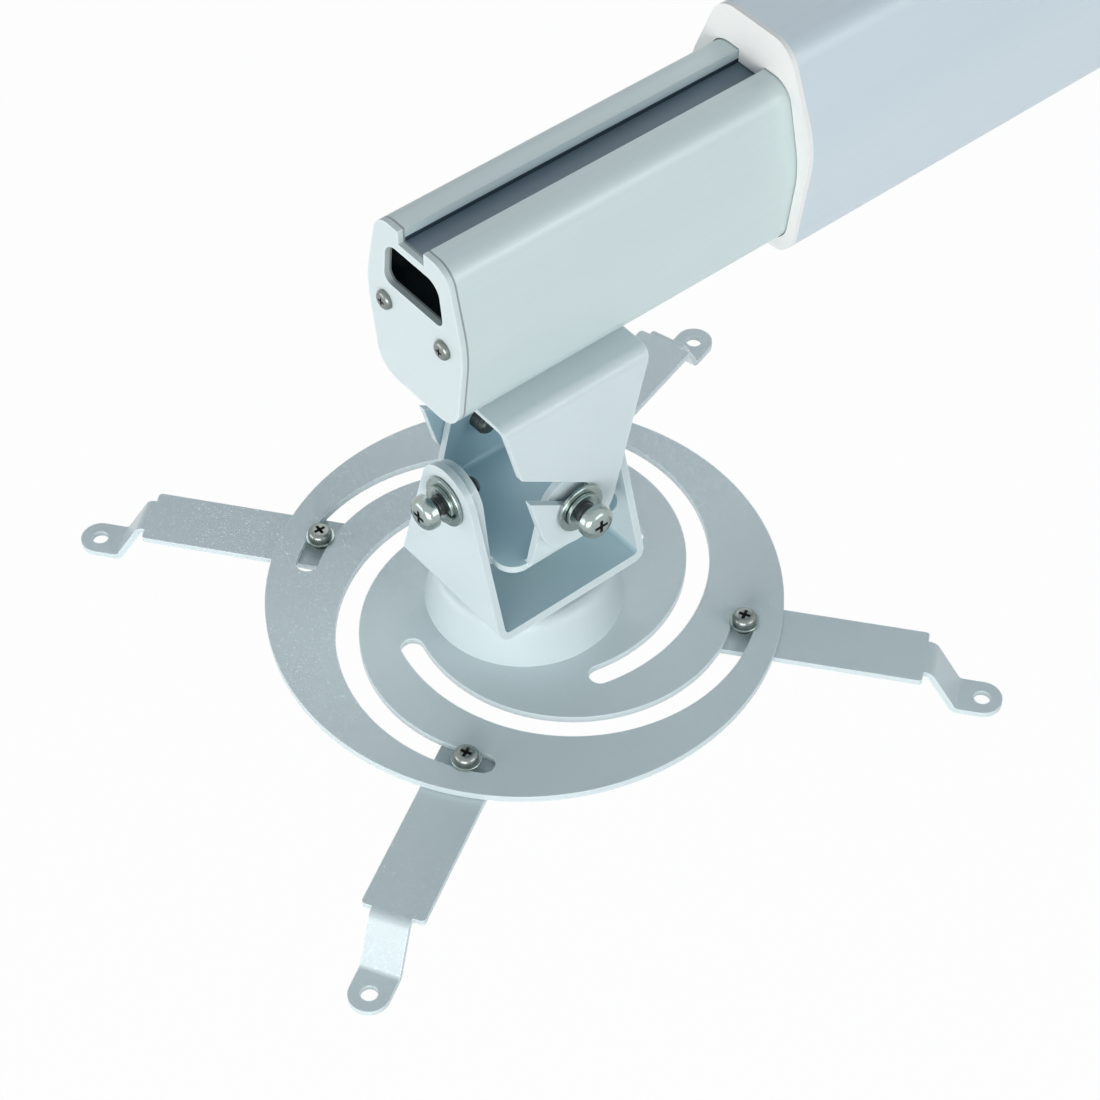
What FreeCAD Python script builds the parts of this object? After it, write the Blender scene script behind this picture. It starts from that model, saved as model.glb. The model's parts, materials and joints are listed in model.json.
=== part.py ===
import FreeCAD, Part
import math
import os

import Sketcher

# Driving sizes in millimetres and degrees.
SIZES = {
    "sheet": 3.0,
    "bend_radius": 2.0,
    "running_gap": 0.5,
    "slide_gap": 0.4,
    "seat_gap": 0.1,
    "stack_gap": 0.3,
    "reach": 500.0,
    "plate_width": 110.0,
    "plate_height": 160.0,
    "plate_thickness": 5.0,
    "plate_corner": 10.0,
    "plate_hole_span_x": 80.0,
    "plate_hole_span_z": 130.0,
    "plate_hole_radius": 4.25,
    "cable_hole_radius": 17.5,
    "spigot_length": 50.0,
    "spigot_wall": 3.0,
    "outer_half_height": 46.2,
    "outer_wall": 2.5,
    "outer_bottom_inset": 16.5,
    "outer_low_round": 11.3,
    "outer_side_round": 42.0,
    "outer_top_inset": 22.0,
    "outer_top_round": 12.0,
    "outer_belly": 3.5,
    "outer_length": 388.0,
    "collar_rim": 2.0,
    "collar_plug": 30.0,
    "plug_floor": 1.2,
    "plug_side": 3.0,
    "inner_half_width": 26.0,
    "inner_half_height": 36.0,
    "inner_wall": 3.0,
    "inner_bottom_inset": 14.0,
    "inner_low_round": 11.0,
    "inner_side_round": 50.0,
    "inner_top_inset": 14.0,
    "inner_top_round": 9.0,
    "inner_belly": 0.5,
    "inner_length": 395.0,
    "inner_overhang": 42.0,
    "channel_half_width": 7.0,
    "channel_depth": 5.5,
    "duct_floor": 7.0,
    "duct_half_low": 17.0,
    "duct_low_round": 4.5,
    "duct_half_top": 12.0,
    "duct_top_round": 6.0,
    "chamber_top_flat": 9.0,
    "guide_length": 15.0,
    "end_plate_thickness": 3.0,
    "cable_mouth_low": 8.5,
    "cable_mouth_top": 27.0,
    "cable_mouth_half_low": 12.5,
    "cable_mouth_low_round": 3.5,
    "cable_mouth_half_top": 8.5,
    "cable_mouth_top_round": 6.5,
    "end_screw_side": 16.0,
    "end_screw_drop": 0.5,
    "end_screw_radius": 1.9,
    "end_screw_length": 15.0,
    "end_screw_head_radius": 3.75,
    "end_screw_head_height": 2.2,
    "end_screw_dome": 1.3,
    "tube_screw_radius": 3.0,
    "tube_screw_head_radius": 5.0,
    "tube_screw_head_height": 3.0,
    "tube_screw_dome": 1.8,
    "tube_screw_inset": 25.0,
    "lock_screw_inset": 14.0,
    "bracket_height": 58.5,
    "bracket_half_length": 33.0,
    "flange_round": 17.5,
    "hook_rise": 6.5,
    "hook_width": 10.2,
    "hook_angle": 34.3,
    "hook_reach": 45.0,
    "bracket_bolt_pitch": 32.0,
    "bracket_bolt_radius": 4.0,
    "bracket_bolt_head_flats": 13.0,
    "bracket_bolt_head_height": 5.3,
    "nut_plate_thickness": 6.0,
    "nut_plate_half_width": 8.0,
    "nut_plate_length": 56.0,
    "tray_half_x": 29.0,
    "tray_half_y": 31.5,
    "tray_depth": 25.0,
    "tray_flap_round": 13.5,
    "tray_flap_base_x": 17.0,
    "tray_flap_base_y": 20.0,
    "tray_plate_half_x": 26.8,
    "tray_plate_half_y": 27.8,
    "tray_plate_corner": 8.0,
    "pivot_radius": 4.0,
    "pivot_clearance": 0.25,
    "tilt_proud": 4.0,
    "roll_proud": 3.8,
    "pivot_head_radius": 6.8,
    "pivot_head_height": 5.2,
    "pivot_dome": 2.8,
    "pivot_tail": 7.0,
    "pivot_washer_radius": 10.0,
    "pivot_washer_thickness": 1.6,
    "pivot_lock_radius": 7.4,
    "pivot_lock_thickness": 2.0,
    "yoke_half_x": 30.3,
    "yoke_depth": 53.3,
    "yoke_ear_round": 14.5,
    "swivel_gap": 0.2,
    "swivel_washer_thickness": 0.8,
    "swivel_washer_radius": 27.0,
    "swivel_radius": 5.0,
    "swivel_clearance": 0.25,
    "swivel_head_flats": 17.0,
    "swivel_head_height": 6.0,
    "swivel_nut_height": 7.0,
    "swivel_tail": 2.0,
    "hub_height": 20.2,
    "hub_base_radius": 38.5,
    "hub_top_radius": 35.5,
    "hub_round": 6.0,
    "hub_wall": 2.5,
    "disc_radius": 100.0,
    "disc_thickness": 3.0,
    "slot_count": 4,
    "slot_width": 9.0,
    "slot_arc_radius": 67.4,
    "slot_centre_offset": 18.7,
    "slot_centre_angle": 50.5,
    "slot_start_angle": -104.0,
    "slot_end_angle": 38.4,
    "arm_thickness": 2.5,
    "arm_half_width": 12.2,
    "arm_tail": 12.0,
    "arm_corner": 3.0,
    "arm_shoulder": 70.0,
    "arm_shoulder_round": 1.5,
    "arm_neck_half_width": 7.75,
    "arm_neck_start": 70.5,
    "arm_neck_end": 85.0,
    "arm_foot_drop": 18.5,
    "arm_foot_hole": 93.2,
    "arm_foot_hole_radius": 3.25,
    "arm_bolt_radius": 3.0,
    "arm_bolt_clearance": 0.25,
    "arm_bolt_head_radius": 4.7,
    "arm_bolt_head_height": 3.4,
    "arm_bolt_dome": 2.0,
    "arm_bolt_tail": 2.0,
    "arm_washer_radius": 5.7,
    "arm_washer_thickness": 1.0,
    "arm_nut_flats": 10.0,
    "arm_nut_height": 5.0,
    "arm_1_bolt_angle": 36.4,
    "arm_2_bolt_angle": 35.0,
    "arm_3_bolt_angle": 26.6,
    "arm_4_bolt_angle": 32.9,
    "arm_1_aim_angle": 38.7,
    "arm_2_aim_angle": 106.3,
    "arm_3_aim_angle": 218.1,
    "arm_4_aim_angle": 299.9,
}

QUARTER = 90.0
FULL_TURN = 360.0
HEX_SIDES = 6

doc = FreeCAD.newDocument("projector_mount")
sheet = doc.addObject("Spreadsheet::Sheet", "Sizes")
pieces = {}


# A size keeps its number and the sheet formula that gives the same number.
class Size:
    def __init__(self, formula, number):
        self.formula = formula
        self.number = number

    def __add__(self, other):
        other = as_size(other)
        return Size(f"({self.formula} + {other.formula})", self.number + other.number)

    def __sub__(self, other):
        other = as_size(other)
        return Size(f"({self.formula} - {other.formula})", self.number - other.number)

    def __mul__(self, other):
        other = as_size(other)
        return Size(f"({self.formula} * {other.formula})", self.number * other.number)

    def __truediv__(self, other):
        other = as_size(other)
        return Size(f"({self.formula} / {other.formula})", self.number / other.number)

    def __rsub__(self, other):
        return as_size(other) - self

    def __neg__(self):
        return self * -1

    __radd__ = __add__
    __rmul__ = __mul__


def as_size(item):
    if isinstance(item, Size):
        return item
    return Size(f"({float(item)!r})", float(item))


def cosine(angle):
    return Size(f"cos({angle.formula} * 1 deg)", math.cos(math.radians(angle.number)))


def sine(angle):
    return Size(f"sin({angle.formula} * 1 deg)", math.sin(math.radians(angle.number)))


def fill_sheet():
    names = {}
    for row, (name, number) in enumerate(SIZES.items(), start=1):
        sheet.set(f"A{row}", name)
        sheet.set(f"B{row}", str(number))
        sheet.setAlias(f"B{row}", name)
        names[name] = Size(f"Sizes.{name}", float(number))
    doc.recompute()
    return names


size = fill_sheet()


def new_body(name):
    body = doc.addObject("PartDesign::Body", name)
    body.Label = name
    return body


def new_sketch(body, role, offset=None):
    sketch = body.newObject("Sketcher::SketchObject", f"{body.Name}_sketch")
    plane = next(item for item in body.Origin.OriginFeatures if item.Role == role)
    sketch.AttachmentSupport = (plane, [""])
    sketch.MapMode = "FlatFace"
    if offset is not None:
        sketch.setExpression("AttachmentOffset.Base.z", offset.formula)
    return sketch


def fix_point(sketch, geometry, point, x, y):
    for kind, axis, place in (("DistanceX", -2, x), ("DistanceY", -1, y)):
        if isinstance(place, Size):
            rule = Sketcher.Constraint(kind, -1, 1, geometry, point, place.number)
            index = sketch.addConstraint(rule)
            sketch.setExpression(f"Constraints[{index}]", place.formula)
        else:
            sketch.addConstraint(Sketcher.Constraint("PointOnObject", geometry, point, axis))


def fix_radius(sketch, geometry, radius):
    index = sketch.addConstraint(Sketcher.Constraint("Radius", geometry, radius.number))
    sketch.setExpression(f"Constraints[{index}]", radius.formula)


def draw_circle(sketch, x, y, radius):
    centre = FreeCAD.Vector(as_size(x).number, as_size(y).number, 0)
    circle = sketch.addGeometry(Part.Circle(centre, FreeCAD.Vector(0, 0, 1), radius.number), False)
    fix_point(sketch, circle, 3, x, y)
    fix_radius(sketch, circle, radius)


# A closed outline, walked anticlockwise: a corner is (x, y), and a round is (x, y, radius, turn)
# about its own centre, with turn +1 outwards or -1 into the outline, joined by tangent lines.
def draw_outline(sketch, corners):
    centres = [(as_size(item[0]).number, as_size(item[1]).number) for item in corners]
    bends = [item[2].number * item[3] if len(item) > 2 else 0.0 for item in corners]
    count = len(corners)
    starts = {}
    ends = {}
    for here in range(count):
        there = (here + 1) % count
        step_x = centres[there][0] - centres[here][0]
        step_y = centres[there][1] - centres[here][1]
        lean = math.asin((bends[there] - bends[here]) / math.hypot(step_x, step_y))
        heading = math.atan2(step_y, step_x) - lean
        side = FreeCAD.Vector(-math.sin(heading), math.cos(heading), 0)
        starts[here] = FreeCAD.Vector(*centres[here], 0) - side * bends[here]
        ends[there] = FreeCAD.Vector(*centres[there], 0) - side * bends[there]
    lines = []
    for here in range(count):
        segment = Part.LineSegment(starts[here], ends[(here + 1) % count])
        lines.append(sketch.addGeometry(segment, False))
    for here, item in enumerate(corners):
        before = lines[here - 1]
        after = lines[here]
        if len(item) == 2:
            sketch.addConstraint(Sketcher.Constraint("Coincident", before, 2, after, 1))
            fix_point(sketch, after, 1, item[0], item[1])
            continue
        centre = FreeCAD.Vector(*centres[here], 0)
        first, last = (ends[here], starts[here]) if item[3] > 0 else (starts[here], ends[here])
        circle = Part.Circle(centre, FreeCAD.Vector(0, 0, 1), item[2].number)
        span = Part.ArcOfCircle(circle, circle.parameter(first), circle.parameter(last))
        arc = sketch.addGeometry(span, False)
        arrive, leave = (1, 2) if item[3] > 0 else (2, 1)
        sketch.addConstraint(Sketcher.Constraint("Tangent", before, 2, arc, arrive))
        sketch.addConstraint(Sketcher.Constraint("Tangent", arc, leave, after, 1))
        fix_point(sketch, arc, 3, item[0], item[1])
        fix_radius(sketch, arc, item[2])


# The right half of a symmetric outline, mirrored to a whole one.
def both_sides(right_half):
    left_half = [(-item[0],) + tuple(item[1:]) for item in reversed(right_half)]
    return list(right_half) + left_half


def add_pad(body, sketch, length, reverse=False):
    feature = body.newObject("PartDesign::Pad", f"{body.Name}_pad")
    feature.Profile = sketch
    feature.Length = length.number
    feature.setExpression("Length", length.formula)
    feature.Reversed = reverse
    doc.recompute()
    return feature


def add_pocket(body, sketch, length, reverse=False):
    before = body.Shape.Volume
    feature = body.newObject("PartDesign::Pocket", f"{body.Name}_pocket")
    feature.Profile = sketch
    feature.Length = length.number
    feature.setExpression("Length", length.formula)
    feature.Reversed = reverse
    doc.recompute()
    if not body.Shape.Volume < before:
        raise RuntimeError(f"{feature.Name} cuts nothing")
    return feature


def add_turning(body, sketch):
    feature = body.newObject("PartDesign::Revolution", f"{body.Name}_turning")
    feature.Profile = sketch
    feature.ReferenceAxis = (sketch, ["V_Axis"])
    feature.Angle = FULL_TURN
    doc.recompute()
    return feature


def place(item, x, y, z, turn=None):
    base = [as_size(value) for value in (x, y, z)]
    spot = FreeCAD.Vector(*[value.number for value in base])
    item.Placement = FreeCAD.Placement(spot, turn or FreeCAD.Rotation())
    for axis, value in zip("xyz", base):
        item.setExpression(f"Placement.Base.{axis}", value.formula)
    return item


def keep(name, item):
    item.Label = name
    pieces[name] = item
    return item


def common(name, first, second):
    shared = doc.addObject("Part::Common", name)
    shared.Base = first
    shared.Tool = second
    doc.recompute()
    return shared


def cut(name, base, tool):
    rest = doc.addObject("Part::Cut", name)
    rest.Base = base
    rest.Tool = tool
    doc.recompute()
    return rest


def group(name, members):
    gathered = doc.addObject("Part::Compound", name)
    gathered.Links = members
    doc.recompute()
    return keep(name, gathered)


# A screw turned about its own axis: head seat at the origin, head up, shank down.
def pan_screw(name, radius, length, head_radius, head_height, dome):
    body = new_body(name)
    sketch = new_sketch(body, "XZ_Plane")
    draw_outline(sketch, [
        (0, -length),
        (radius, -length),
        (radius, 0),
        (head_radius, 0),
        (head_radius - dome, head_height - dome, dome, 1),
        (0, head_height),
    ])
    add_turning(body, sketch)
    return body


def washer(name, radius, bore, thickness):
    body = new_body(name)
    sketch = new_sketch(body, "XY_Plane")
    draw_circle(sketch, 0, 0, radius)
    draw_circle(sketch, 0, 0, bore)
    add_pad(body, sketch, thickness)
    return body


def hexagon(name, flats, height):
    prism = doc.addObject("Part::Prism", name)
    prism.Polygon = HEX_SIDES
    prism.setExpression("Circumradius", f"{flats.formula} / sqrt(3)")
    prism.setExpression("Height", height.formula)
    doc.recompute()
    return prism


def hex_nut(name, flats, height, bore):
    hole = doc.addObject("Part::Cylinder", f"{name}_hole")
    hole.setExpression("Radius", bore.formula)
    hole.setExpression("Height", height.formula)
    return cut(name, hexagon(f"{name}_block", flats, height), hole)


def hex_bolt(name, radius, length, flats, height):
    shank = doc.addObject("Part::Cylinder", f"{name}_shank")
    shank.setExpression("Radius", radius.formula)
    shank.setExpression("Height", f"{length.formula} + {height.formula}")
    bolt = doc.addObject("Part::Fuse", name)
    bolt.Base = hexagon(f"{name}_head", flats, height)
    bolt.Tool = shank
    doc.recompute()
    return bolt


# Places that several pieces share.
tube_half_width = {"inner": size["inner_half_width"]}
tube_half_width["outer"] = (size["inner_half_width"] + size["slide_gap"] + size["plug_side"]
                            + size["seat_gap"] + size["outer_wall"])
plug_bottom_z = size["outer_wall"] + size["seat_gap"] - size["outer_half_height"]
inner_axis_z = plug_bottom_z + size["plug_floor"] + size["slide_gap"] + size["inner_half_height"]
inner_bottom_z = inner_axis_z - size["inner_half_height"]
pivot_y = -size["reach"]
pivot_z = inner_bottom_z - size["bracket_height"]
plate_front_y = -size["plate_thickness"]
outer_front_y = plate_front_y - size["outer_length"]
collar_front_y = outer_front_y - size["collar_rim"]
inner_front_y = pivot_y - size["inner_overhang"]
inner_rear_y = inner_front_y + size["inner_length"]
yoke_base_z = pivot_z - size["yoke_depth"]
disc_z = yoke_base_z - size["swivel_gap"] - size["swivel_washer_thickness"] - size["hub_height"]
channel_floor = size["inner_half_height"] - size["channel_depth"]
bend_outer = size["bend_radius"] + size["sheet"]

towards_wall = FreeCAD.Rotation(FreeCAD.Vector(1, 0, 0), -QUARTER)
away_from_wall = FreeCAD.Rotation(FreeCAD.Vector(1, 0, 0), QUARTER)
to_right = FreeCAD.Rotation(FreeCAD.Vector(0, 1, 0), QUARTER)
to_left = FreeCAD.Rotation(FreeCAD.Vector(0, 1, 0), -QUARTER)
downwards = FreeCAD.Rotation(FreeCAD.Vector(1, 0, 0), 2 * QUARTER)


# The rounded section of a tube, shrunk by inset on every side and moved up by lift.
def tube_section(kind, inset, lift):
    half_width = tube_half_width[kind]
    half_height = size[f"{kind}_half_height"]
    low = size[f"{kind}_low_round"]
    side = size[f"{kind}_side_round"]
    top = size[f"{kind}_top_round"]
    return both_sides([
        (half_width - size[f"{kind}_bottom_inset"], lift + low - half_height, low - inset, 1),
        (half_width - side, lift + size[f"{kind}_belly"], side - inset, 1),
        (half_width - size[f"{kind}_top_inset"], lift + half_height - top, top - inset, 1),
    ])


# A rectangle with round corners about the sketch origin.
def round_rectangle(half_width, half_height, corner):
    return both_sides([
        (half_width - corner, corner - half_height, corner, 1),
        (half_width - corner, half_height - corner, corner, 1),
    ])


def rectangle(half_width, low, high):
    return both_sides([(half_width, low), (half_width, high)])


def make_wall_plate():
    body = new_body("wall_plate")
    plate = new_sketch(body, "XZ_Plane")
    draw_outline(plate, round_rectangle(
        size["plate_width"] / 2, size["plate_height"] / 2, size["plate_corner"]))
    for across in (-1, 1):
        for up in (-1, 1):
            draw_circle(plate, size["plate_hole_span_x"] * across / 2,
                        size["plate_hole_span_z"] * up / 2, size["plate_hole_radius"])
    draw_circle(plate, 0, 0, size["cable_hole_radius"])
    add_pad(body, plate, size["plate_thickness"])
    spigot = new_sketch(body, "XZ_Plane", size["plate_thickness"])
    skin = size["outer_wall"] + size["seat_gap"]
    draw_outline(spigot, tube_section("outer", skin, as_size(0)))
    draw_outline(spigot, tube_section("outer", skin + size["spigot_wall"], as_size(0)))
    add_pad(body, spigot, size["spigot_length"])
    holes = new_sketch(body, "XY_Plane", -size["outer_half_height"])
    draw_circle(holes, 0, plate_front_y - size["tube_screw_inset"],
                size["tube_screw_radius"] + size["seat_gap"])
    add_pocket(body, holes, size["outer_half_height"] * 2, reverse=True)
    return keep("wall_plate", body)


def make_outer_tube():
    body = new_body("outer_tube")
    section = new_sketch(body, "XZ_Plane")
    draw_outline(section, tube_section("outer", as_size(0), as_size(0)))
    draw_outline(section, tube_section("outer", size["outer_wall"], as_size(0)))
    add_pad(body, section, size["outer_length"])
    holes = new_sketch(body, "XY_Plane", -size["outer_half_height"])
    draw_circle(holes, 0, -size["tube_screw_inset"], size["tube_screw_radius"] + size["seat_gap"])
    add_pocket(body, holes, size["outer_half_height"] * 2, reverse=True)
    lock_hole = new_sketch(body, "XY_Plane", -size["outer_half_height"])
    draw_circle(lock_hole, 0, size["lock_screw_inset"] - size["outer_length"],
                size["tube_screw_radius"] + size["seat_gap"])
    add_pocket(body, lock_hole, size["outer_half_height"], reverse=True)
    place(body, 0, plate_front_y, 0)
    return keep("outer_tube", body)


def make_tube_screws():
    length = size["outer_wall"] + size["seat_gap"] + size["spigot_wall"] + size["seat_gap"]
    screws = []
    for name, height, turn in (
        ("tube_screw_top", size["outer_half_height"], FreeCAD.Rotation()),
        ("tube_screw_bottom", -size["outer_half_height"], downwards),
    ):
        screw = pan_screw(name, size["tube_screw_radius"], length,
                          size["tube_screw_head_radius"], size["tube_screw_head_height"],
                          size["tube_screw_dome"])
        place(screw, 0, plate_front_y - size["tube_screw_inset"], height, turn)
        screws.append(screw)
    return group("tube_screws", screws)


def make_lock_screw():
    depth = size["outer_half_height"] + inner_bottom_z - size["stack_gap"]
    screw = pan_screw("boom_lock_screw", size["tube_screw_radius"], depth,
                      size["tube_screw_head_radius"], size["tube_screw_head_height"],
                      size["tube_screw_dome"])
    place(screw, 0, outer_front_y + size["lock_screw_inset"], -size["outer_half_height"], downwards)
    return keep("boom_lock_screw", screw)


# The collar closes the mouth of the outer tube; its tab reaches into the channel of the inner one.
def make_tube_collar():
    body = new_body("tube_collar")
    depth = size["collar_rim"] + size["collar_plug"]
    rim = new_sketch(body, "XZ_Plane")
    draw_outline(rim, tube_section("outer", as_size(0), as_size(0)))
    add_pad(body, rim, size["collar_rim"], reverse=True)
    plug = new_sketch(body, "XZ_Plane")
    draw_outline(plug, tube_section("outer", size["outer_wall"] + size["seat_gap"], as_size(0)))
    add_pad(body, plug, depth, reverse=True)
    mouth = new_sketch(body, "XZ_Plane")
    draw_outline(mouth, tube_section("inner", -size["slide_gap"], inner_axis_z))
    add_pocket(body, mouth, depth)
    tab = new_sketch(body, "XZ_Plane")
    draw_outline(tab, rectangle(
        size["channel_half_width"] - size["slide_gap"],
        inner_axis_z + channel_floor + size["slide_gap"],
        -plug_bottom_z))
    add_pad(body, tab, depth, reverse=True)
    lock_hole = new_sketch(body, "XY_Plane", -size["outer_half_height"])
    draw_circle(lock_hole, 0, size["collar_rim"] + size["lock_screw_inset"],
                size["tube_screw_radius"] + size["seat_gap"])
    add_pocket(body, lock_hole, size["outer_half_height"], reverse=True)
    place(body, 0, collar_front_y, 0)
    return keep("tube_collar", body)


def end_screw_spots():
    return [(size["end_screw_side"] * side, -size["end_screw_drop"]) for side in (-1, 1)]


def cut_channel(body, length):
    channel = new_sketch(body, "XZ_Plane")
    draw_outline(channel, rectangle(size["channel_half_width"], channel_floor,
                                    size["inner_half_height"] + size["channel_depth"]))
    add_pocket(body, channel, length)


# The boom's extrusion: a cable duct over a lower chamber, with screw bosses beside the chamber's top.
def make_inner_tube():
    body = new_body("inner_tube")
    wall = size["inner_wall"]
    duct_top = channel_floor - wall
    section = new_sketch(body, "XZ_Plane")
    draw_outline(section, tube_section("inner", as_size(0), as_size(0)))
    low_round = size["duct_low_round"]
    draw_outline(section, both_sides([
        (size["duct_half_low"], size["duct_floor"] + low_round, low_round, 1),
        (size["duct_half_top"], duct_top - size["duct_top_round"], size["duct_top_round"], 1),
    ]))
    draw_outline(section, both_sides([
        (size["inner_half_width"] - size["inner_bottom_inset"],
         size["inner_low_round"] - size["inner_half_height"],
         size["inner_low_round"] - wall, 1),
        (size["chamber_top_flat"], size["duct_floor"] - wall),
    ]))
    add_pad(body, section, size["inner_length"], reverse=True)
    cut_channel(body, size["inner_length"])
    screw_holes = new_sketch(body, "XZ_Plane")
    for x, z in end_screw_spots():
        draw_circle(screw_holes, x, z, size["end_screw_radius"] + size["seat_gap"])
    add_pocket(body, screw_holes, size["end_screw_length"])
    bolt_holes = new_sketch(body, "XY_Plane", -size["inner_half_height"])
    for side in (-1, 1):
        draw_circle(bolt_holes, 0, size["inner_overhang"] + size["bracket_bolt_pitch"] * side / 2,
                    size["bracket_bolt_radius"] + size["seat_gap"])
    add_pocket(body, bolt_holes, size["inner_half_height"] / 2, reverse=True)
    place(body, 0, inner_front_y, inner_axis_z)
    return keep("inner_tube", body)


def make_end_plate():
    body = new_body("end_plate")
    face = new_sketch(body, "XZ_Plane")
    draw_outline(face, tube_section("inner", as_size(0), as_size(0)))
    low_round = size["cable_mouth_low_round"]
    top_round = size["cable_mouth_top_round"]
    draw_outline(face, both_sides([
        (size["cable_mouth_half_low"], size["cable_mouth_low"] + low_round, low_round, 1),
        (size["cable_mouth_half_top"], size["cable_mouth_top"] - top_round, top_round, 1),
    ]))
    for x, z in end_screw_spots():
        draw_circle(face, x, z, size["end_screw_radius"] + size["seat_gap"])
    add_pad(body, face, size["end_plate_thickness"], reverse=True)
    cut_channel(body, size["end_plate_thickness"])
    place(body, 0, inner_front_y - size["end_plate_thickness"], inner_axis_z)
    return keep("end_plate", body)


def make_end_plate_screws():
    screws = []
    for number, (x, z) in enumerate(end_screw_spots(), start=1):
        screw = pan_screw(f"end_plate_screw_{number}", size["end_screw_radius"],
                          size["end_screw_length"], size["end_screw_head_radius"],
                          size["end_screw_head_height"], size["end_screw_dome"])
        place(screw, x, inner_front_y - size["end_plate_thickness"], inner_axis_z + z, away_from_wall)
        screws.append(screw)
    return group("end_plate_screws", screws)


def make_rear_guide():
    body = new_body("rear_guide")
    ring = new_sketch(body, "XZ_Plane")
    draw_outline(ring, tube_section("outer", size["outer_wall"] + size["slide_gap"], as_size(0)))
    draw_outline(ring, tube_section("inner", -size["seat_gap"], inner_axis_z))
    add_pad(body, ring, size["guide_length"])
    place(body, 0, inner_rear_y, 0)
    return keep("rear_guide", body)


# A channel of sheet: a web with a wall down or up each side, joined by round bends.
def folded_channel(half_width, web_outside, wall_end):
    sheet_metal = size["sheet"]
    inner_round = size["bend_radius"]
    return both_sides([
        (half_width - bend_outer, web_outside + bend_outer, bend_outer, 1),
        (half_width, wall_end),
        (half_width - sheet_metal, wall_end),
        (half_width - sheet_metal - inner_round, web_outside + sheet_metal + inner_round,
         inner_round, -1),
    ])


def hanging_channel(half_width, web_outside, wall_end):
    upright = folded_channel(half_width, -web_outside, -wall_end)
    return [(item[0], -item[1]) + tuple(item[2:]) for item in reversed(upright)]


# The upper bracket hangs under the boom; each side has an open hook slot that drops to the pivot.
def make_upper_bracket():
    half_width = size["tray_half_x"] + size["running_gap"] + size["sheet"]
    fold = new_body("upper_bracket_fold")
    profile = new_sketch(fold, "XZ_Plane", -size["bracket_half_length"])
    draw_outline(profile, hanging_channel(half_width, size["bracket_height"],
                                          -size["flange_round"] - size["sheet"]))
    add_pad(fold, profile, size["bracket_half_length"] * 2)
    bolt_holes = new_sketch(fold, "XY_Plane", size["bracket_height"] - size["sheet"])
    for side in (-1, 1):
        draw_circle(bolt_holes, 0, size["bracket_bolt_pitch"] * side / 2,
                    size["bracket_bolt_radius"] + size["seat_gap"])
    add_pocket(fold, bolt_holes, size["sheet"], reverse=True)
    sides = new_body("upper_bracket_sides")
    flange = new_sketch(sides, "YZ_Plane", -half_width)
    draw_outline(flange, [
        (0, 0, size["flange_round"], 1),
        (size["bracket_half_length"], size["bracket_height"]),
        (-size["bracket_half_length"], size["bracket_height"]),
    ])
    add_pad(sides, flange, half_width * 2)
    slot = new_sketch(sides, "YZ_Plane", half_width)
    back = cosine(size["hook_angle"])
    rise = sine(size["hook_angle"])
    half_slot = size["hook_width"] / 2
    mouth_y = -size["hook_reach"] * back
    mouth_z = size["hook_rise"] + size["hook_reach"] * rise
    draw_outline(slot, [
        (mouth_y - half_slot * rise, mouth_z - half_slot * back),
        (0, size["hook_rise"], half_slot, 1),
        (mouth_y + half_slot * rise, mouth_z + half_slot * back),
    ])
    add_pocket(sides, slot, half_width * 2)
    seat = new_sketch(sides, "YZ_Plane", half_width)
    draw_circle(seat, 0, 0, size["pivot_radius"] + size["pivot_clearance"])
    add_pocket(sides, seat, half_width * 2)
    bracket = common("upper_bracket", fold, sides)
    place(bracket, 0, pivot_y, pivot_z)
    return keep("upper_bracket", bracket)


def make_bracket_bolts():
    length = size["sheet"] + size["inner_wall"] + size["nut_plate_thickness"]
    seat_z = pivot_z + size["bracket_height"] - size["sheet"]
    bolts = []
    for number, side in enumerate((-1, 1), start=1):
        bolt = hex_bolt(f"bracket_bolt_{number}", size["bracket_bolt_radius"], length,
                        size["bracket_bolt_head_flats"], size["bracket_bolt_head_height"])
        place(bolt, 0, pivot_y + size["bracket_bolt_pitch"] * side / 2,
              seat_z - size["bracket_bolt_head_height"])
        bolts.append(bolt)
    return group("bracket_bolts", bolts)


def make_nut_plate():
    body = new_body("nut_plate")
    plate = new_sketch(body, "XY_Plane")
    draw_outline(plate, rectangle(size["nut_plate_half_width"], -size["nut_plate_length"] / 2,
                                  size["nut_plate_length"] / 2))
    for side in (-1, 1):
        draw_circle(plate, 0, size["bracket_bolt_pitch"] * side / 2,
                    size["bracket_bolt_radius"] + size["seat_gap"])
    add_pad(body, plate, size["nut_plate_thickness"])
    place(body, 0, pivot_y, inner_bottom_z + size["inner_wall"])
    return keep("nut_plate", body)


# One strap of the tray: a folded channel trimmed to round flaps with a pivot hole.
def tray_strap(name, fold_plane, side_plane, half_span, flap_base):
    flap_top = size["tray_flap_round"] + size["sheet"]
    fold = new_body(f"{name}_fold")
    profile = new_sketch(fold, fold_plane, -flap_base)
    draw_outline(profile, folded_channel(half_span, -size["tray_depth"], flap_top))
    add_pad(fold, profile, flap_base * 2)
    sides = new_body(f"{name}_sides")
    flap = new_sketch(sides, side_plane, -half_span)
    draw_outline(flap, [
        (-flap_base, -size["tray_depth"]),
        (flap_base, -size["tray_depth"]),
        (0, 0, size["tray_flap_round"], 1),
    ])
    draw_circle(flap, 0, 0, size["pivot_radius"] + size["seat_gap"])
    add_pad(sides, flap, half_span * 2)
    return common(name, fold, sides)


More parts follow.
